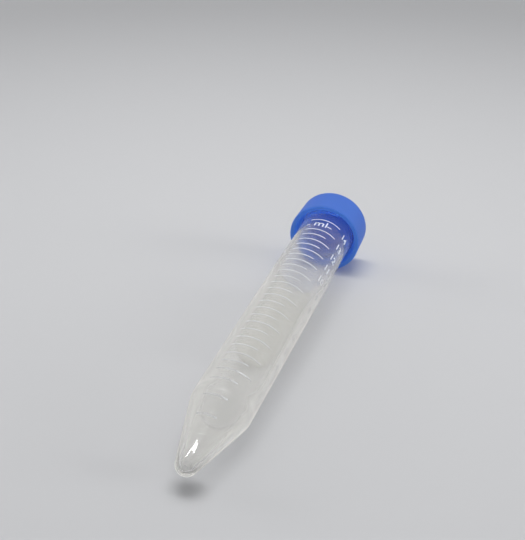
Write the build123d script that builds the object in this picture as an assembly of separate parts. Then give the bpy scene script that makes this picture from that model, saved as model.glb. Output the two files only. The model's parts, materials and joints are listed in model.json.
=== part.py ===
from build123d import *
from math import asin, atan2, degrees, hypot, radians, sin
import os

# Screw-capped 15 ml conical tube, lying on its side as it comes to rest.
#
# Three mouldings: a clear tube with a conical end, a screw cap, and the soft seal disc under the
# cap's roof. Each is turned about the tube's own axis, standing on its tip, and then laid down.
# Lengths are in millimetres and angles in degrees. The origin is under the middle of the whole
# tube, on the surface it lies on, with +X from the tip to the cap and +Z up.

# Tube, outside
TUBE_LENGTH = 117.8         # tip to mouth
BODY_DIAMETER = 16.3        # along the straight land below the cap, which a rack's hole holds
LAND_LENGTH = 31.0          # straight part and neck together, down from the mouth
NECK_STEP = 0.2             # how far the core of the screw neck stands in from the land
SHOULDER_DIAMETER = 15.4    # where the body, tapering from the land, meets the cone
CONE_LENGTH = 22.0          # tip to shoulder
TIP_DIAMETER = 4.2          # across the blunt end, before it is rounded
TIP_ROUND = 0.55 * TIP_DIAMETER
SHOULDER_ROUND = 4.0        # radius of the bend between cone and body, inside and out

# Tube, inside
WALL = 1.0                  # body and land
CONE_WALL = 1.1             # at the shoulder, square to the axis
TIP_WALL = 0.9              # at the blunt end, square to the axis
FLOOR = 1.7                 # thickness of the end, along the axis
POCKET_ROUND = 0.9          # radius at the bottom of the inside
MOUTH_BEVEL = 0.25          # both edges of the mouth

# Seal disc
SEAL_THICKNESS = 0.8

# Cap
CAP_HEIGHT = 11.0
CAP_ROOF = 1.3
CAP_SKIRT = 1.35            # wall at the open end
CAP_TAPER = 0.25            # how far the outside draws in on its way up to the flat top
BORE_TAPER = 0.2            # how far the bore draws in on its way up to the roof
CAP_TOP_ROUND = 0.75
CAP_MOUTH_BEVEL = 0.25      # lead-in around the open end of the bore

# Clearances
THREAD_ROOM = 1.5           # neck to bore at the roof, filled by the two screw threads
SEAL_GAP = 0.05             # mouth to seal disc, and seal disc to roof
SEAL_CLEARANCE = 0.15       # seal disc's edge to bore
NECK_COVER = 0.5            # how far the cap's rim reaches past the neck, over the land

# Where each moulding's seam lies, around the axis from the line it rests on
TUBE_SEAM = 3.2
CAP_SEAM = 1.7

# Radii that mate
BODY = BODY_DIAMETER / 2
NECK = BODY - NECK_STEP
ROOF_BORE = NECK + THREAD_ROOM
RIM_BORE = ROOF_BORE + BORE_TAPER
CAP_RIM_RADIUS = RIM_BORE + CAP_SKIRT
SEAL = ROOF_BORE - SEAL_CLEARANCE

# Places along the axis, measured up from the tip
LAND_START = TUBE_LENGTH - LAND_LENGTH
SEAL_START = TUBE_LENGTH + SEAL_GAP
SEAL_END = SEAL_START + SEAL_THICKNESS
ROOF_START = SEAL_END + SEAL_GAP
CAP_TOP = ROOF_START + CAP_ROOF
CAP_RIM = CAP_TOP - CAP_HEIGHT
NECK_START = CAP_RIM + NECK_COVER


def turned(outline, rounds=(), bevels=()):
    """Turn an outline of (radius, height) corners about Z, with chosen corners eased first.

    rounds and bevels are lists of (size, corners): every one of those corners gets that size.
    """
    face = make_face(Polyline(*outline, close=True))
    for ease, sizes in ((fillet, rounds), (chamfer, bevels)):
        for size, corners in sizes:
            chosen = [vertex for vertex in face.vertices()
                      if any(hypot(vertex.X - x, vertex.Y - y) < 1e-6 for x, y in corners)]
            face = ease(chosen, size)
    upright = Plane.XZ * face
    return revolve(upright, Axis.Z)


def make_tube():
    """Tapered body with a straight land, screw neck and open mouth above, and a cone below."""
    bore = BODY - WALL
    shoulder = SHOULDER_DIAMETER / 2
    tip = TIP_DIAMETER / 2
    tip_corner = (tip, 0)
    shoulder_corner = (shoulder, CONE_LENGTH)
    mouth_outer = (NECK, TUBE_LENGTH)
    mouth_inner = (bore, TUBE_LENGTH)
    inner_shoulder = (shoulder - CONE_WALL, CONE_LENGTH)
    pocket_corner = (tip - TIP_WALL, FLOOR)
    outline = [
        (0, 0),
        tip_corner,
        shoulder_corner,
        (BODY, LAND_START),
        (BODY, NECK_START),
        (NECK, NECK_START),
        mouth_outer,
        mouth_inner,
        (bore, LAND_START),
        inner_shoulder,
        pocket_corner,
        (0, FLOOR),
    ]
    rounds = [
        (TIP_ROUND, [tip_corner]),
        (SHOULDER_ROUND, [shoulder_corner, inner_shoulder]),
        (POCKET_ROUND, [pocket_corner]),
    ]
    bevels = [(MOUTH_BEVEL, [mouth_outer, mouth_inner])]
    return Rotation(0, 0, TUBE_SEAM) * turned(outline, rounds, bevels)


def make_seal_disc():
    """Flat round disc that the mouth closes against."""
    return turned([(0, SEAL_START), (SEAL, SEAL_START), (SEAL, SEAL_END), (0, SEAL_END)])


def make_cap():
    """Flat-topped cap with a plain, slightly tapering skirt and a smooth bore."""
    rim_outer = (CAP_RIM_RADIUS, CAP_RIM)
    rim_inner = (RIM_BORE, CAP_RIM)
    top_corner = (CAP_RIM_RADIUS - CAP_TAPER, CAP_TOP)
    roof_corner = (ROOF_BORE, ROOF_START)
    outline = [(0, ROOF_START), roof_corner, rim_inner, rim_outer, top_corner, (0, CAP_TOP)]
    rounds = [(CAP_TOP_ROUND, [top_corner])]
    bevels = [(CAP_MOUTH_BEVEL, [rim_inner])]
    return Rotation(0, 0, CAP_SEAM) * turned(outline, rounds, bevels)


def round_centre(before, corner, after, radius):
    """Centre of the arc that rounds the corner between two straight runs of an outline."""
    to_before = (Vector(*before) - Vector(*corner)).normalized()
    to_after = (Vector(*after) - Vector(*corner)).normalized()
    half_angle = radians(to_before.get_angle(to_after) / 2)
    return Vector(*corner) + (to_before + to_after).normalized() * (radius / sin(half_angle))


def resting_tilt():
    """Angle between the axis and the surface, with the shoulder and the cap's rim touching it."""
    shoulder = round_centre(
        (TIP_DIAMETER / 2, 0),
        (SHOULDER_DIAMETER / 2, CONE_LENGTH),
        (BODY, LAND_START),
        SHOULDER_ROUND,
    )
    rim = Vector(CAP_RIM_RADIUS, CAP_RIM)
    span = rim - shoulder
    return degrees(atan2(span.X, span.Y) - asin(SHOULDER_ROUND / span.length))


def lay_down(pieces):
    """Tip the upright pieces onto their side and centre them over the origin."""
    fallen = [Rotation(0, 90 - resting_tilt(), 0) * piece for piece in pieces.values()]
    box = Compound(fallen).bounding_box()
    shift = Pos(-box.center().X, 0, -box.min.Z)
    return {name: shift * piece for name, piece in zip(pieces, fallen)}


def main():
    upright = {"tube": make_tube(), "cap": make_cap(), "seal_disc": make_seal_disc()}
    os.makedirs("parts", exist_ok=True)
    for name, piece in lay_down(upright).items():
        export_step(piece, f"parts/{name}.step")


if __name__ == "__main__":
    main()
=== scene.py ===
import json
import math

import bmesh
import bpy
import numpy as np
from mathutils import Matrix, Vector


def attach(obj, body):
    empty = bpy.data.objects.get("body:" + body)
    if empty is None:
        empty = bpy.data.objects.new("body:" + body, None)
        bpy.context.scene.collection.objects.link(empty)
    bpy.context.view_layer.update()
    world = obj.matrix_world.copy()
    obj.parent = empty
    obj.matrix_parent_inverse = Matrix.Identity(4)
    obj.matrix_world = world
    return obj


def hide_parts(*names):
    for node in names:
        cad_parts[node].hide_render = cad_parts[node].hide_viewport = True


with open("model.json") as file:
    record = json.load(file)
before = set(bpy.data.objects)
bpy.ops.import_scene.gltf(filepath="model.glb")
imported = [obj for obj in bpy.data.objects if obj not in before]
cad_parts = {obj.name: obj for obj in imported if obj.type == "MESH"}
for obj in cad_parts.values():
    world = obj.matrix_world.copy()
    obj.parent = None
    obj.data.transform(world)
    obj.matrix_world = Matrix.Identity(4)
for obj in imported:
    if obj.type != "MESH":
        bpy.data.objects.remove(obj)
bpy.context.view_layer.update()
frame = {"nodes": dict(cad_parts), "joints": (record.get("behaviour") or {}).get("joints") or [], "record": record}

# A clear, slightly milky 15 ml tube with a blue screw cap, lying on a pale table.
# Lengths are in millimetres along the tube's own axis, measured up from its tip, and radii are
# square to that axis. Angles around it run from the top of the lying tube, positive towards +Y.
# Everything is turned into the part's frame, in metres, by place_on_axis().

MM = 0.001

# Tube
TOTAL_LENGTH = 120.0
TUBE_LENGTH = 117.8
BODY = 8.15
LAND_START = 86.8
SHOULDER = 7.7
SHOULDER_ROUND = 10.0
CONE_LENGTH = 22.0
TIP = 2.1
TIP_ROUND = 2.31
NECK = 7.95
NECK_START = 109.5
NECK_ROUND = 0.08
BORE = 7.15
INNER_SHOULDER = 6.6
INNER_TIP = 1.2
FLOOR = 1.7
POCKET_ROUND = 0.9
MOUTH_ROUND = 0.25

# Cap
CAP_RIM = 109.0
CAP_RIM_RADIUS = 11.0
CAP_TOP_RADIUS = 10.75
RIM_BORE = 9.65
ROOF_BORE = 9.45
ROOF_START = 118.7
CAP_TOP_ROUND = 0.75
CAP_RIM_ROUND = 0.3
BORE_ROUND = 0.3

# Screw threads: two starts, right-handed, so a turn lifts the cap by the lead
THREAD_LEAD = 5.0
THREAD_STARTS = 2
THREAD_PITCH = THREAD_LEAD / THREAD_STARTS
THREAD_WIDTH = 1.0           # of the ridge, halfway up its sides
THREAD_FLANK = 0.5           # of each sloping side
THREAD_FADE = 0.8            # length along the axis in which a ridge fades away
NECK_THREAD_CREST = 8.95
NECK_THREAD_START = NECK_START + 0.6
NECK_THREAD_END = TUBE_LENGTH - 0.9
CAP_THREAD_CREST = 8.65
CAP_THREAD_START = CAP_RIM + 1.1
CAP_THREAD_END = ROOF_START - 2.6

# Printed scale; angles are in degrees
INK = 0.04                   # how far the print stands out from the wall
SUNK = -0.05                 # and how far its underside lies in the wall
SCALE_SHIFT = -1.2           # the print sits this far below the true volume
LOW_MARK_SHIFT = {0.5: -1.6, 1.0: -1.1, 1.5: 0.5, 2.0: 0.6, 2.5: 0.4}   # and these lines are off by more
TOP_MARK = 14
UNIT_MARK = 13.5             # the unit stands in this line's place, between two dashes
LINE_WIDTH = 0.38
LINE_LEFT = 23.0
LONG_RIGHT = -46.0
SHORT_RIGHT = -28.6
DASHES = ((27.0, 19.0), (-19.0, -29.0))
DASH_WIDTH = 0.4
FIGURE_SIZE = 4.0
FIGURE_NARROW = 0.72
FIGURE_DROP = -2.6           # from a line to the feet of its number
TENS_LEFT = -56.5
TENS_HEAVY = 0.09
UNITS_LEFT = -76.0
UNITS_HEAVY = -0.03
UNIT_SIZE = 4.3
UNIT_NARROW = 1.03
UNIT_LEFT = 11.0
UNIT_DROP = -0.9
UNIT_HEAVY = 0.02
LETTER_CUT = 0.4             # width of the flat strips that a letter is bent in
MERGE = 0.002                # corners of a letter closer than this are one corner

# Patch to write on; angles are in degrees
PATCH_LOW = 48.3
PATCH_HIGH = 88.5
PATCH_LEFT = 97.0
PATCH_RIGHT = 207.0
PATCH_CORNER = 4.5
PATCH_EDGE = 0.45            # width of the outline
PATCH_CELLS = 58             # inside the outline, each way

# Meshes
AROUND = 256                 # facets around a turned skin
ARC_STEP = 0.12
FINE_STEP = 0.12             # where a thread stands
TUBE_STEP = 3.0
CAP_STEP = 2.0
LINE_STEP = 1.5              # degrees of a printed line in one facet
SLICES = 4000                # in which the volume held is added up
SHARP_DEGREES = 40           # edges of the print over this stay sharp
NEAR = 0.01                  # radii closer than this are the same

# How much of each skin of the tube scatters: met head on, and what a glancing angle adds
MILK = 0.10
MOUTH_MILK = 0.0
MILK_CLOUDS = 0.03
TIP_MILK_SHARE = 0.15
EDGE_MILK = 0.9
MOUTH_EDGE_MILK = 0.25
CONE_EDGE_MILK = 0.6

# Shares
MILK_BACK = 0.45             # of what the milk scatters, thrown back and not passed on
FILM_BACK = 0.7              # the same of the frosted film
BLUE_GLOW = 0.45             # of the blue plastic, passing light on
INK_COVER = 0.95
FILM_CLOUDS = 0.15

# Stretches of the frame, in metres, over which a finish changes: along X, from tip to cap ...
CLEARER = (0.000, 0.036)             # the wall clears towards the mouth, and the print is fullest there
CONE = (-0.062, -0.034)
CONE_EDGES = (-0.042, -0.030)
TIP_BEGINS = (-0.0591, -0.0577)      # the solid plastic of the tip
TIP_ENDS = (-0.056, -0.0525)
LOW_LINES = (-0.036, -0.022)
# the lowest lines, whose ends take a painted glint
PAINTED_GLINT_LINES = (-0.034, -0.026)
BEFORE_TENS = (0.01, 0.03)           # the numbers below ten
# where the print takes painted blue light from the cap
PAINTED_CAP_LIGHT_STRETCH = (0.014, 0.040)
# ... and along Y, from the numbers' side to the scale's
# a band across the lowest lines where the ink stays whole, as a painted glint
PAINTED_GLINT_FROM = (-0.0052, -0.0042)
PAINTED_GLINT_TO = (-0.0032, -0.0018)
NUMBERS = (-0.0078, -0.0070)

# Colours
CLEAR_PLASTIC = (0.995, 0.99, 0.975, 1)
MILK_COLOUR = (0.95, 0.94, 0.90, 1)
SHADE_TINT = (0.945, 0.945, 0.945, 1)
SHADE_EDGE = (0.50, 0.50, 0.50, 1)
SHADE_SOLID = (0.03, 0.03, 0.03, 1)
SHADE_FILM = (0.62, 0.62, 0.62, 1)
BLUE_TINT = (0.45, 0.51, 0.66, 1)
CAP_BLUE = (0.112, 0.265, 0.70, 1)
# the cap's own blue, painted lighter inside for the light that glows through its walls
CAP_INSIDE_PAINTED_GLOW = (0.165, 0.42, 0.93, 1)
# the seal's own blue, painted brighter for the light that comes through the cap's roof
SEAL_BLUE_AND_GLOW = (0.07, 0.31, 0.98, 1)
WHITE_INK = (0.77, 0.785, 0.81, 1)
# the print's colour with painted blue light from the cap, used near the cap
INK_PAINTED_CAP_LIGHT = (0.69, 0.77, 0.90, 1)
PATCH_WHITE = (0.86, 0.86, 0.82, 1)
# the outline of the film, painted darker grey for the shade along the patch's edge
PATCH_OUTLINE_AND_SHADE = (0.44, 0.44, 0.42, 1)
PALE = (0.60, 0.605, 0.62, 1)

axis_joint = next(joint for joint in frame["joints"] if joint["name"] == "cap_turn")
cap_mount = next(mount for mount in frame["record"]["mounts"] if mount["name"] == "cap_top")
AXIS = np.array(axis_joint["axis"], float)
AXIS /= np.linalg.norm(AXIS)
TIP_POINT = np.array(cap_mount["pos_m"], float) - TOTAL_LENGTH * MM * AXIS
UPWARD = np.array([-AXIS[2], 0.0, AXIS[0]])
SIDEWAYS = np.array([0.0, 1.0, 0.0])


def place_on_axis(radius, angle, height):
    """Points in the frame: tip + height * axis + radius * (cos(angle) * upward + sin(angle) * sideways)."""
    radius, angle, height = np.broadcast_arrays(radius, angle, height)
    around = np.cos(angle)[..., None] * UPWARD + np.sin(angle)[..., None] * SIDEWAYS
    return TIP_POINT + MM * (height[..., None] * AXIS + radius[..., None] * around)


def eased_outline(corners):
    """Points along an outline of (radius, height, rounding) corners.

    Each rounded corner becomes the arc of that radius that touches both of its sides: the arc's
    centre lies on the corner's bisector, rounding / sin(half the corner's angle) away from it.
    """
    points = [np.array(corners[0][:2])]
    for before, corner, after in zip(corners, corners[1:], corners[2:]):
        here = np.array(corner[:2])
        rounding = corner[2]
        if not rounding:
            points.append(here)
            continue
        back = np.array(before[:2]) - here
        ahead = np.array(after[:2]) - here
        back /= np.linalg.norm(back)
        ahead /= np.linalg.norm(ahead)
        half = math.acos(float(back @ ahead)) / 2
        middle = here + (back + ahead) / np.linalg.norm(back + ahead) * rounding / math.sin(half)
        reach = rounding / math.tan(half)
        first = here + back * reach - middle
        last = here + ahead * reach - middle
        sweep = math.pi - 2 * half
        count = max(4, int(math.ceil(rounding * sweep / ARC_STEP)))
        turn = np.linspace(0, 1, count + 1)[:, None]
        arc = (np.sin((1 - turn) * sweep) * first + np.sin(turn * sweep) * last) / math.sin(sweep)
        points.extend(middle + arc)
    points.append(np.array(corners[-1][:2]))
    return np.array(points)


def divided(points, longest):
    """The same outline with its long straight runs divided, so that no step is over the length given."""
    rows = [points[:1]]
    for start, end in zip(points, points[1:]):
        pieces = max(1, int(math.ceil(np.linalg.norm(end - start) / longest)))
        rows.append(start + (end - start) * np.linspace(0, 1, pieces + 1)[1:, None])
    return np.vstack(rows)


def divided_finely(points, fine, longest):
    """The same outline divided: in fine steps between fine neighbours, and as divided() does elsewhere."""
    rows = [points[:1]]
    for i in range(1, len(points)):
        step = FINE_STEP if fine[i] and fine[i - 1] else longest
        rows.append(divided(points[i - 1:i + 1], step)[1:])
    return np.vstack(rows)


def make_object(name, vertices, faces, sharp_degrees=None):
    """A smoothly shaded object from points in the frame, with edges over the angle given kept sharp."""
    mesh = bpy.data.meshes.new(name)
    mesh.from_pydata(np.asarray(vertices).tolist(), [], faces)
    mesh.update()
    mesh.polygons.foreach_set("use_smooth", np.ones(len(mesh.polygons), bool))
    if sharp_degrees:
        mesh.set_sharp_from_angle(angle=math.radians(sharp_degrees))
    thing = bpy.data.objects.new(name, mesh)
    bpy.context.scene.collection.objects.link(thing)
    return thing


def ring_of_angles():
    """The angles of a turned skin's columns: minus 2 pi j / columns."""
    return -np.linspace(0, 2 * math.pi, AROUND, endpoint=False)[None, :]


def turned_skin(name, radius, height, second_from):
    """Closed skin of a turned piece, from rows of radius and height over the ring of angles.

    Row i, column j lies at height[i, j] and radius[i, j], at the ring's angle j. The first and
    the last row are single points on the axis, and the rows between join into quads. The faces
    from row second_from on take the second finish.
    """
    rows, columns = radius.shape
    ring = place_on_axis(radius[1:-1], ring_of_angles(), height[1:-1]).reshape(-1, 3)
    start = place_on_axis(0.0, 0.0, height[0, 0])
    end = place_on_axis(0.0, 0.0, height[-1, 0])
    vertices = np.vstack([ring, start[None], end[None]])
    index = np.arange((rows - 2) * columns).reshape(rows - 2, columns)
    beside = np.roll(index, -1, axis=1)
    quads = np.stack([index[:-1], beside[:-1], beside[1:], index[1:]], -1).reshape(-1, 4)
    first = len(ring)
    fan_in = np.stack([np.full(columns, first), beside[0], index[0]], -1)
    fan_out = np.stack([np.full(columns, first + 1), index[-1], beside[-1]], -1)
    faces = quads.tolist() + fan_in.tolist() + fan_out.tolist()
    thing = make_object(name, vertices, faces)
    second = np.zeros(len(faces), np.int32)
    second[(second_from - 1) * columns:len(quads)] = 1
    second[-columns:] = 1
    thing.data.polygons.foreach_set("material_index", second)
    return thing


def thread_height(angle, height, start, end, crest):
    """How far a screw thread stands out at each angle and height.

    The ridge follows height = start - lead * angle / 2 pi, once for each start. Across it the form
    is a rounded trapezoid, and it fades to nothing at both ends of its run.
    """
    along = (height - start + THREAD_LEAD * angle / (2 * math.pi)) / THREAD_PITCH
    off = np.abs(along - np.round(along)) * THREAD_PITCH
    ridge = np.clip((THREAD_WIDTH / 2 + THREAD_FLANK / 2 - off) / THREAD_FLANK, 0, 1)
    fade = np.clip((height - start) / THREAD_FADE, 0, 1) * np.clip((end - height) / THREAD_FADE, 0, 1)
    return crest * ridge * ridge * (3 - 2 * ridge) * fade


def tube_skin():
    """The tube as one closed skin: tip, cone, body, threaded neck, mouth, and back down inside.

    Radius = the outline's radius, plus the thread's height where the outline is the neck's outside.
    """
    outline = divided(eased_outline([
        (0.0, 0.0, 0), (TIP, 0.0, TIP_ROUND), (SHOULDER, CONE_LENGTH, SHOULDER_ROUND),
        (BODY, LAND_START, 0), (BODY, NECK_START, NECK_ROUND), (NECK, NECK_START, NECK_ROUND),
        (NECK, TUBE_LENGTH, MOUTH_ROUND), (BORE, TUBE_LENGTH, MOUTH_ROUND), (BORE, LAND_START, 0),
        (INNER_SHOULDER, CONE_LENGTH, SHOULDER_ROUND), (INNER_TIP, FLOOR, POCKET_ROUND), (0.0, FLOOR, 0),
    ]), TUBE_STEP)
    on_neck = (outline[:, 0] > NECK - NEAR) & (outline[:, 1] > NECK_START + 2 * NECK_ROUND)
    outline = divided_finely(outline, on_neck, TUBE_STEP)
    radius = np.repeat(outline[:, :1], AROUND, axis=1)
    height = np.repeat(outline[:, 1:], AROUND, axis=1)
    outside = (outline[:, 0] > (NECK + BORE) / 2) & (outline[:, 1] > NECK_START)
    crest = NECK_THREAD_CREST - NECK
    ridge = thread_height(ring_of_angles(), height, NECK_THREAD_START, NECK_THREAD_END, crest)
    radius = radius + np.where(outside[:, None], ridge, 0.0)
    mouth = int(np.argmax(outline[:, 1])) + 1
    return turned_skin("tube_shell", radius, height, mouth)


def cap_skin():
    """The cap as one closed skin: under the roof, down the bore, round the rim, up the side and over.

    Radius = the outline's radius, drawn in towards the thread's crest where the outline is the
    bore. The thread lies half a pitch from the neck's.
    """
    outline = eased_outline([
        (0.0, TOTAL_LENGTH, 0), (CAP_TOP_RADIUS, TOTAL_LENGTH, CAP_TOP_ROUND),
        (CAP_RIM_RADIUS, CAP_RIM, CAP_RIM_ROUND), (RIM_BORE, CAP_RIM, CAP_RIM_ROUND),
        (ROOF_BORE, ROOF_START, BORE_ROUND), (0.0, ROOF_START, 0),
    ])
    in_bore = (outline[:, 0] < RIM_BORE + NEAR) & (outline[:, 0] > ROOF_BORE / 2)
    outline = divided_finely(outline, in_bore, CAP_STEP)[::-1]
    radius = np.repeat(outline[:, :1], AROUND, axis=1)
    height = np.repeat(outline[:, 1:], AROUND, axis=1)
    inside = (outline[:, 0] < RIM_BORE + NEAR) & (outline[:, 0] > ROOF_BORE - BORE_ROUND - NEAR)
    raised = height - THREAD_PITCH / 2
    ridge = thread_height(ring_of_angles(), raised, CAP_THREAD_START, CAP_THREAD_END, 1.0)
    radius = radius - np.where(inside[:, None], ridge * (radius - CAP_THREAD_CREST), 0.0)
    side = int(np.argmax(outline[:, 0] > CAP_RIM_RADIUS - CAP_RIM_ROUND / 2))
    return turned_skin("cap_shell", radius, height, side)


def inner_radius(height):
    """Radius of the inside: straight between the floor, the shoulder and the land."""
    return np.interp(height, [FLOOR, CONE_LENGTH, LAND_START], [INNER_TIP, INNER_SHOULDER, BORE])


def outer_radius(height):
    """Radius of the outside: straight between the tip, the shoulder and the land."""
    return np.interp(height, [0.0, CONE_LENGTH, LAND_START], [TIP, SHOULDER, BODY])


def mark_height(volume_ml):
    """Height where the inside holds the volume: the running sum of pi r squared, read backwards."""
    height = np.linspace(FLOOR, TUBE_LENGTH, SLICES)
    area = math.pi * inner_radius(height) ** 2
    held = np.concatenate([[0], np.cumsum((area[1:] + area[:-1]) / 2 * np.diff(height))]) / 1000
    return float(np.interp(volume_ml, held, height)) + SCALE_SHIFT + LOW_MARK_SHIFT.get(volume_ml, 0.0)


def printed_band(height, left, right, width):
    """One printed line: a thin closed strip on the wall, from one angle to another.

    Column j is at an angle between left and right, and the four rows are the strip's corners:
    low and high edges, just under the wall and one ink thickness over it.
    """
    angle = np.radians(np.linspace(left, right, max(3, int(abs(left - right) / LINE_STEP)) + 1))
    low = height - width / 2
    high = height + width / 2
    levels = [(low, SUNK), (low, INK), (high, INK), (high, SUNK)]
    rows = [place_on_axis(outer_radius(level) + lift, angle, level) for level, lift in levels]
    corners = np.stack(rows, 1)
    columns = len(angle)
    index = np.arange(columns * 4).reshape(columns, 4)
    around = np.roll(index, -1, axis=1)
    sides = np.stack([index[:-1], index[1:], around[1:], around[:-1]], -1).reshape(-1, 4)
    ends = [index[0].tolist(), index[-1][::-1].tolist()]
    return corners.reshape(-1, 3), sides.tolist() + ends


def joined(name, parts):
    """One object from many (points, faces) parts, each with its own corners."""
    vertices, faces, offset = [], [], 0
    for points, polygons in parts:
        vertices.append(points)
        faces += [[i + offset for i in polygon] for polygon in polygons]
        offset += len(points)
    return make_object(name, np.vstack(vertices), faces, SHARP_DEGREES)


def scale_lines():
    """Every half millilitre up to the top mark, long at the whole ones, and the unit's two dashes."""
    parts = []
    for half in range(1, 2 * TOP_MARK + 1):
        volume = half / 2
        if volume == UNIT_MARK:
            continue
        right = LONG_RIGHT if half % 2 == 0 and volume > 1 else SHORT_RIGHT
        parts.append(printed_band(mark_height(volume), LINE_LEFT, right, LINE_WIDTH))
    for left, right in DASHES:
        parts.append(printed_band(mark_height(UNIT_MARK), left, right, DASH_WIDTH))
    return joined("scale_lines", parts)


def flat_letters(words, size, heavy):
    """Corners and faces of raised flat lettering, cut into narrow strips across, so that it can bend."""
    curve = bpy.data.curves.new("letters", "FONT")
    curve.body = words
    curve.size = size
    curve.extrude = INK
    curve.offset = heavy
    curve.resolution_u = 4
    flat = bpy.data.objects.new("letters", curve)
    bpy.context.scene.collection.objects.link(flat)
    bpy.context.view_layer.update()
    mesh = bpy.data.meshes.new_from_object(flat.evaluated_get(bpy.context.evaluated_depsgraph_get()))
    bpy.data.objects.remove(flat)
    work = bmesh.new()
    work.from_mesh(mesh)
    bmesh.ops.remove_doubles(work, verts=work.verts, dist=MERGE)
    across = [corner.co.x for corner in work.verts]
    for cut in np.arange(min(across) + LETTER_CUT, max(across), LETTER_CUT):
        everything = work.verts[:] + work.edges[:] + work.faces[:]
        place = (float(cut), 0, 0)
        bmesh.ops.bisect_plane(work, geom=everything, dist=MERGE, plane_co=place, plane_no=(1, 0, 0))
    bmesh.ops.remove_doubles(work, verts=work.verts, dist=MERGE)
    bmesh.ops.dissolve_degenerate(work, edges=work.edges[:], dist=MERGE)
    bmesh.ops.triangulate(work, faces=work.faces[:])
    work.to_mesh(mesh)
    work.free()
    corners = np.zeros(len(mesh.vertices) * 3)
    mesh.vertices.foreach_get("co", corners)
    faces = [list(polygon.vertices) for polygon in mesh.polygons]
    bpy.data.meshes.remove(mesh)
    return corners.reshape(-1, 3), faces


def wrapped_text(words, size, narrow, left, bottom, heavy):
    """Raised lettering bent round the tube.

    Across becomes angle = left - narrow * x / radius, up becomes height, and thickness becomes radius.
    """
    corners, faces = flat_letters(words, size, heavy)
    height = bottom + corners[:, 1]
    wall = outer_radius(height)
    angle = math.radians(left) - corners[:, 0] * narrow / wall
    return place_on_axis(wall + corners[:, 2], angle, height), faces


def scale_figures():
    """The numbers beside the whole millilitres, and the unit on the scale's own centre line."""
    parts = []
    for volume in range(2, TOP_MARK + 1):
        left, heavy = (TENS_LEFT, TENS_HEAVY) if volume > 9 else (UNITS_LEFT, UNITS_HEAVY)
        feet = mark_height(volume) + FIGURE_DROP
        parts.append(wrapped_text(str(volume), FIGURE_SIZE, FIGURE_NARROW, left, feet, heavy))
    feet = mark_height(UNIT_MARK) + UNIT_DROP
    parts.append(wrapped_text("ml", UNIT_SIZE, UNIT_NARROW, UNIT_LEFT, feet, UNIT_HEAVY))
    return joined("scale_figures", parts)


def writing_patch():
    """Frosted patch to write on, opposite the scale: a rounded rectangle bent round the wall.

    Row u and column v run from -1 to 1 over the patch. Each point is pulled in towards the corner
    circles, so that the outline is straight along its sides and round at its corners. The
    outermost cells and the thin walls are the outline, and take the second finish, a darker grey that paints shade
    along the patch's edge.
    """
    half_height = (PATCH_HIGH - PATCH_LOW) / 2
    half_width = math.radians(PATCH_RIGHT - PATCH_LEFT) / 2 * BODY
    steps = []
    for half in (half_height, half_width):
        inner = 1 - PATCH_EDGE / half
        steps.append(np.concatenate([[-1], np.linspace(-inner, inner, PATCH_CELLS + 1), [1]]))
    u, v = np.meshgrid(*steps, indexing="ij")
    x = v * half_width
    y = u * half_height
    over_x = np.clip(np.abs(x) - (half_width - PATCH_CORNER), 0, None)
    over_y = np.clip(np.abs(y) - (half_height - PATCH_CORNER), 0, None)
    square = np.maximum(over_x, over_y)
    length = np.hypot(over_x, over_y)
    pull = np.where(length > 0, square / np.maximum(length, 1e-9), 1.0)
    x = np.sign(x) * (np.minimum(np.abs(x), half_width - PATCH_CORNER) + over_x * pull)
    y = np.sign(y) * (np.minimum(np.abs(y), half_height - PATCH_CORNER) + over_y * pull)
    height = (PATCH_LOW + PATCH_HIGH) / 2 + y
    angle = math.radians((PATCH_LEFT + PATCH_RIGHT) / 2) - x / BODY
    wall = outer_radius(height)
    skins = [place_on_axis(wall + lift, angle, height) for lift in (INK, SUNK)]
    rows, columns = u.shape
    index = np.arange(rows * columns).reshape(rows, columns)
    over = np.stack([index[:-1, :-1], index[:-1, 1:], index[1:, 1:], index[1:, :-1]], -1).reshape(-1, 4)
    under = over[:, ::-1] + rows * columns
    border = np.concatenate([index[0, :-1], index[:-1, -1], index[-1, :0:-1], index[:0:-1, 0]])
    beside = np.roll(border, -1)
    walls = np.stack([beside, border, border + rows * columns, beside + rows * columns], -1)
    vertices = np.vstack([skin.reshape(-1, 3) for skin in skins])
    faces = over.tolist() + under.tolist() + walls.tolist()
    thing = make_object("writing_patch", vertices, faces, SHARP_DEGREES)
    outline = np.ones((rows - 1, columns - 1), np.int32)
    outline[1:-1, 1:-1] = 0
    second = np.concatenate([outline.ravel(), outline.ravel(), np.ones(len(walls), np.int32)])
    thing.data.polygons.foreach_set("material_index", second)
    return thing


class Signal:
    """A number inside a finish, so that sums on it can be written as Python sums."""

    def __init__(self, finish, socket):
        self.finish = finish
        self.socket = socket

    def worked_out(self, operation, first, second):
        """The result of a Math node on two numbers."""
        node = self.finish.node("ShaderNodeMath", {"operation": operation}, {0: first, 1: second})
        return Signal(self.finish, node.outputs[0])

    def __add__(self, other):
        return self.worked_out("ADD", self, other)

    def __radd__(self, other):
        return self.worked_out("ADD", other, self)

    def __sub__(self, other):
        return self.worked_out("SUBTRACT", self, other)

    def __rsub__(self, other):
        return self.worked_out("SUBTRACT", other, self)

    def __mul__(self, other):
        return self.worked_out("MULTIPLY", self, other)

    def __rmul__(self, other):
        return self.worked_out("MULTIPLY", other, self)

    def __pow__(self, other):
        return self.worked_out("POWER", self, other)


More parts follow.
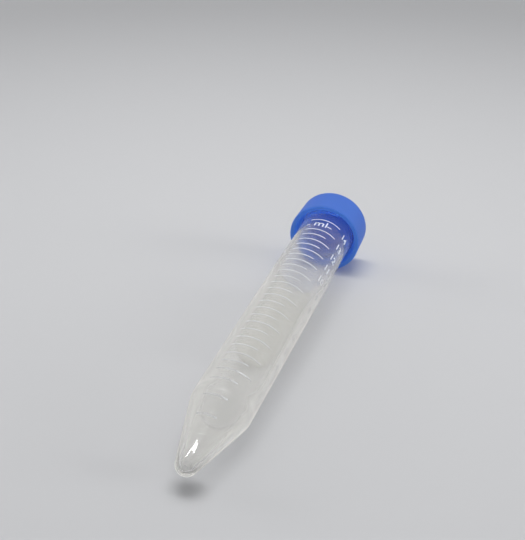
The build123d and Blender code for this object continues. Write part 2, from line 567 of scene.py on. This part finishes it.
class Finish:
    """The nodes of one material, or of the room around, built one by one."""

    def __init__(self, holder, output="ShaderNodeOutputMaterial"):
        holder.use_nodes = True
        self.holder = holder
        self.tree = holder.node_tree
        self.tree.nodes.clear()
        self.output = self.node(output)

    def node(self, kind, settings=None, sockets=None):
        """A node of any type: its settings first, then the values or links of its sockets."""
        made = self.tree.nodes.new(kind)
        for key, value in (settings or {}).items():
            setattr(made, key, value)
        for key, value in (sockets or {}).items():
            if isinstance(value, Signal):
                value = value.socket
            if isinstance(value, bpy.types.NodeSocket):
                self.tree.links.new(value, made.inputs[key])
            else:
                made.inputs[key].default_value = value
        return made

    def shader(self, kind, sockets=None):
        """What a shader node gives."""
        return self.node(kind, None, sockets).outputs[0]

    def mixed(self, share, first, second):
        """Two shaders mixed: the first alone where the share is 0, the second alone where it is 1."""
        return self.shader("ShaderNodeMixShader", {0: share, 1: first, 2: second})

    def eased(self, value, stretch, first, last):
        """Goes smoothly from first to last while the value crosses the stretch."""
        made = self.node("ShaderNodeMapRange", {"interpolation_type": "SMOOTHSTEP"}, {
            "Value": value, "From Min": stretch[0], "From Max": stretch[1], "To Min": first, "To Max": last,
        })
        return Signal(self, made.outputs["Result"])

    def place(self):
        """Where a point is in the frame."""
        return self.node("ShaderNodeTexCoord").outputs["Object"]

    def along(self, stretch, first, last, way="X"):
        """Goes smoothly from first to last over a stretch of one of the frame's axes."""
        apart = self.node("ShaderNodeSeparateXYZ", None, {"Vector": self.place()})
        return self.eased(apart.outputs[way], stretch, first, last)

    def noise(self, scale):
        """Soft random values from 0 to 1, with the scale given to a metre."""
        sockets = {"Vector": self.place(), "Scale": scale, "Detail": 3.0}
        return Signal(self, self.node("ShaderNodeTexNoise", None, sockets).outputs[0])

    def seen(self):
        """1 for the rays by which something is seen: straight, in a reflection or through glass."""
        path = self.node("ShaderNodeLightPath")
        straight = Signal(self, path.outputs["Is Camera Ray"])
        mirrored = Signal(self, path.outputs["Is Glossy Ray"])
        return straight + mirrored + Signal(self, path.outputs["Is Transmission Ray"])

    def let_light_by(self, shader, clear, from_surfaces=False):
        """The shader as it is seen, with a clear stand-in for the rays that bring light.

        Lamps' rays always take the stand-in, and light thrown back by other surfaces may too.
        """
        path = self.node("ShaderNodeLightPath")
        if from_surfaces:
            shader = self.mixed(path.outputs["Is Diffuse Ray"], shader, clear)
        return self.mixed(path.outputs["Is Shadow Ray"], shader, clear)

    def finish_with(self, shader):
        """Puts the shader on the output, and gives back the material or room."""
        self.tree.links.new(shader, self.output.inputs["Surface"])
        return self.holder


def polypropylene(name, roughness):
    """Clear plastic with a little milk in it, as a mixture of glass and of scattering.

    The scattering share is milk, plus edge milk times the cube of how glancing the look is. It
    falls towards the mouth and in the cone's tip. Lamps and light from the table reach what is
    behind the wall through a clear stand-in, a little tinted at each skin, so that the tube throws
    a pale shadow and no hard bright lines. The solid plastic of the tip stops them.
    """
    finish = Finish(bpy.data.materials.new(name))
    glancing = Signal(finish, finish.node("ShaderNodeLayerWeight", None, {"Blend": 0.5}).outputs["Facing"])
    milk = finish.along(CLEARER, MILK, MOUTH_MILK) + MILK_CLOUDS * finish.noise(scale=180.0)
    milk = milk * finish.along(CONE, TIP_MILK_SHARE, 1.0)
    milk = milk + finish.along(CLEARER, EDGE_MILK, MOUTH_EDGE_MILK) * glancing ** 3
    milk = milk + finish.along(CONE_EDGES, CONE_EDGE_MILK, 0.0) * glancing ** 1.5
    glass = finish.shader("ShaderNodeBsdfPrincipled", {
        "Base Color": CLEAR_PLASTIC, "Roughness": roughness, "IOR": 1.45, "Transmission Weight": 1.0,
    })
    passed = finish.shader("ShaderNodeBsdfTranslucent", {"Color": MILK_COLOUR})
    thrown_back = finish.shader("ShaderNodeBsdfDiffuse", {"Color": MILK_COLOUR})
    wall = finish.mixed(milk, glass, finish.mixed(MILK_BACK, passed, thrown_back))
    head_on = finish.shader("ShaderNodeBsdfTransparent", {"Color": SHADE_TINT})
    edge_on = finish.shader("ShaderNodeBsdfTransparent", {"Color": SHADE_EDGE})
    clear = finish.mixed(glancing ** 2, head_on, edge_on)
    solid_tip = finish.shader("ShaderNodeBsdfTransparent", {"Color": SHADE_SOLID})
    coming_out = Signal(finish, finish.node("ShaderNodeNewGeometry").outputs["Backfacing"])
    solid = finish.along(TIP_BEGINS, 0.0, 0.95) * finish.along(TIP_ENDS, 1.0, 0.0)
    clear = finish.mixed(solid * (1.0 - coming_out), clear, solid_tip)
    return finish.finish_with(finish.let_light_by(wall, clear, from_surfaces=True))


def blue_plastic(name, colour, roughness):
    """Coloured plastic whose walls let a little light of their own colour through."""
    finish = Finish(bpy.data.materials.new(name))
    shell = finish.shader("ShaderNodeBsdfPrincipled", {
        "Base Color": colour, "Roughness": roughness + 0.08 * finish.noise(scale=900.0), "IOR": 1.5,
    })
    glow = finish.shader("ShaderNodeBsdfTranslucent", {"Color": colour})
    clear = finish.shader("ShaderNodeBsdfTransparent", {"Color": BLUE_TINT})
    return finish.finish_with(finish.let_light_by(finish.mixed(BLUE_GLOW, shell, glow), clear))


def ink(name, colour, painted_cap_light, roughness):
    """White print, with painted blue light from the cap where it is near.

    It covers less towards the tip and where it is faint, but the scale's ends of the lowest lines
    stay fully covered as a painted glint, and the numbers below ten are faint.
    """
    finish = Finish(bpy.data.materials.new(name))
    # Painted blue light from the cap, mixed into the print's colour near the cap
    tinted = finish.node("ShaderNodeMix", {"data_type": "RGBA"}, {
        0: finish.along(PAINTED_CAP_LIGHT_STRETCH, 0.0, 1.0), 6: colour, 7: painted_cap_light,
    })
    film = finish.shader("ShaderNodeBsdfPrincipled", {
        "Base Color": tinted.outputs[2], "Roughness": roughness, "IOR": 1.5,
    })
    clear = finish.shader("ShaderNodeBsdfTransparent", {"Color": SHADE_TINT})
    # Less cover towards the tip, and less again in the cone's lines
    fainter_towards_tip = finish.along(CLEARER, 0.50, 0.0) + finish.along(LOW_LINES, 0.2, 0.0)
    # Painted glint: the scale's ends of the lowest lines keep their full cover
    painted_glint = finish.along(PAINTED_GLINT_TO, 0.9, 0.0, "Y") * finish.along(PAINTED_GLINT_LINES, 1.0, 0.0)
    painted_glint = painted_glint * finish.along(PAINTED_GLINT_FROM, 0.0, 1.0, "Y")
    faint = finish.along(NUMBERS, 0.35, 0.0, "Y") * finish.along(BEFORE_TENS, 1.0, 0.0)
    cover = INK_COVER - fainter_towards_tip * (1.0 - painted_glint) - faint
    return finish.finish_with(finish.let_light_by(finish.mixed(cover, clear, film), clear))


def frosting(name, colour, least_cover):
    """A thin white film that scatters light both ways and hides much of what is behind it."""
    finish = Finish(bpy.data.materials.new(name))
    passed = finish.shader("ShaderNodeBsdfTranslucent", {"Color": colour})
    thrown_back = finish.shader("ShaderNodeBsdfDiffuse", {"Color": colour})
    film = finish.mixed(FILM_BACK, passed, thrown_back)
    bare = finish.shader("ShaderNodeBsdfTransparent")
    cover = least_cover + FILM_CLOUDS * finish.noise(scale=300.0)
    clear = finish.shader("ShaderNodeBsdfTransparent", {"Color": SHADE_FILM})
    return finish.finish_with(finish.let_light_by(finish.mixed(cover, bare, film), clear))


def pale_table():
    """A pale matt top that runs into the colour of the room a good way off."""
    finish = Finish(bpy.data.materials.new("pale_table_finish"))
    top = finish.shader("ShaderNodeBsdfPrincipled", {"Base Color": PALE, "Roughness": 0.6})
    room = finish.shader("ShaderNodeEmission", {"Color": PALE})
    away = finish.node("ShaderNodeVectorMath", {"operation": "LENGTH"}, {0: finish.place()})
    far = finish.eased(away.outputs["Value"], (0.40, 0.75), 0.0, 1.0)
    return finish.finish_with(finish.mixed(far * finish.seen(), top, room))


def soft_room():
    """The room: a plain level of light from all round, and a pale colour where it is seen."""
    room = Finish(bpy.data.worlds.new("soft_room"), "ShaderNodeOutputWorld")
    light = room.shader("ShaderNodeBackground", {"Strength": 0.43})
    look = room.shader("ShaderNodeBackground", {"Color": PALE})
    return room.finish_with(room.mixed(room.seen(), light, look))


def dress(thing, materials, body, slot, *nodes):
    """Gives a piece its materials, the body it rides on and the nodes it stands for. The slot is not used."""
    for material in materials:
        thing.data.materials.append(material)
    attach(thing, body)
    if nodes:
        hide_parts(*nodes)


def lamp(name, place, size, power, target=None):
    """A soft rectangular lamp that faces straight down, or towards a target."""
    light = bpy.data.lights.new(name, "AREA")
    light.shape = "RECTANGLE"
    light.size, light.size_y = size
    light.energy = power
    holder = bpy.data.objects.new(name, light)
    bpy.context.scene.collection.objects.link(holder)
    holder.location = place
    if target:
        holder.rotation_euler = (Vector(target) - Vector(place)).to_track_quat("-Z", "Y").to_euler()
    return holder


def keep_out_of_reflections(holder):
    """A lamp that lights the scene but isn't seen in the plastic."""
    holder.visible_glossy = False
    holder.visible_transmission = False


# Pieces
polished = polypropylene("clear_polypropylene_finish", roughness=0.028)
cloudy = polypropylene("clear_polypropylene_inside", roughness=0.15)
# The cap's inside faces: a lighter blue that paints the glow coming through the walls
cap_inside_painted_glow = blue_plastic("blue_cap_inside", CAP_INSIDE_PAINTED_GLOW, roughness=0.42)
cap_blue = blue_plastic("blue_cap_finish", CAP_BLUE, roughness=0.42)
# The seal: its blue, made brighter to paint the light coming through the cap's roof
seal_blue_and_glow = blue_plastic("blue_seal_finish", SEAL_BLUE_AND_GLOW, roughness=0.5)
white_ink = ink("white_ink_finish", WHITE_INK, INK_PAINTED_CAP_LIGHT, roughness=0.45)
frosted = frosting("frosted_patch_finish", PATCH_WHITE, least_cover=0.40)
# The patch's outline, in a darker grey that paints shade along its edge
patch_outline_and_shade = frosting("frosted_patch_edge", PATCH_OUTLINE_AND_SHADE, least_cover=0.70)

dress(tube_skin(), [polished, cloudy], "tube_body", "clear_polypropylene", "tube")
dress(cap_skin(), [cap_inside_painted_glow, cap_blue], "cap_body", "blue_polyethylene", "cap")
dress(scale_lines(), [white_ink], "tube_body", "white_ink")
dress(scale_figures(), [white_ink], "tube_body", "white_ink")
dress(writing_patch(), [frosted, patch_outline_and_shade], "tube_body", "white_ink")
frame["nodes"]["seal_disc"].data.materials.clear()
frame["nodes"]["seal_disc"].data.materials.append(seal_blue_and_glow)

# Table
TABLE_REACH = 3.0
table_corners = [(x * TABLE_REACH, y * TABLE_REACH, 0) for x, y in ((-1, -1), (1, -1), (1, 1), (-1, 1))]
table = make_object("table", table_corners, [[0, 1, 2, 3]])
table.data.materials.append(pale_table())

# Light
bpy.context.scene.world = soft_room()
strip = lamp("ceiling_strip", place=(0.085, 0.02, 0.42), size=(0.010, 0.28), power=0.75)
keep_out_of_reflections(strip)
lamp("bright_edge", place=(0.074, -0.048, 0.6), size=(0.010, 0.48), power=0.60)
SIDE_FILLS = [
    ("right_fill", (0.05, -1.2, 0.37), 0.34),
    ("left_fill", (0.0, 1.2, 0.42), 0.22),
]
for fill_name, fill_place, fill_power in SIDE_FILLS:
    fill = lamp(fill_name, fill_place, (0.6, 0.35), fill_power, target=(0.0, 0.0, 0.01))
    fill.data.spread = math.radians(40)
    keep_out_of_reflections(fill)

# Camera
VIEW_AZIMUTH = math.radians(19.33)
VIEW_DROP = math.radians(28.49)
VIEW_DISTANCE = 0.2637
AIM = Vector((0.0233, 0.0112, 0.011))
camera_data = bpy.data.cameras.new("camera")
camera_data.lens = 60.63
camera_data.sensor_width = 36.0
camera = bpy.data.objects.new("camera", camera_data)
bpy.context.scene.collection.objects.link(camera)
forward = Vector((
    math.cos(VIEW_DROP) * math.cos(VIEW_AZIMUTH),
    math.cos(VIEW_DROP) * math.sin(VIEW_AZIMUTH),
    -math.sin(VIEW_DROP),
))
camera.location = AIM - forward * VIEW_DISTANCE
camera.rotation_euler = forward.to_track_quat("-Z", "Y").to_euler()
bpy.context.scene.camera = camera
bpy.context.scene.view_settings.view_transform = "Standard"
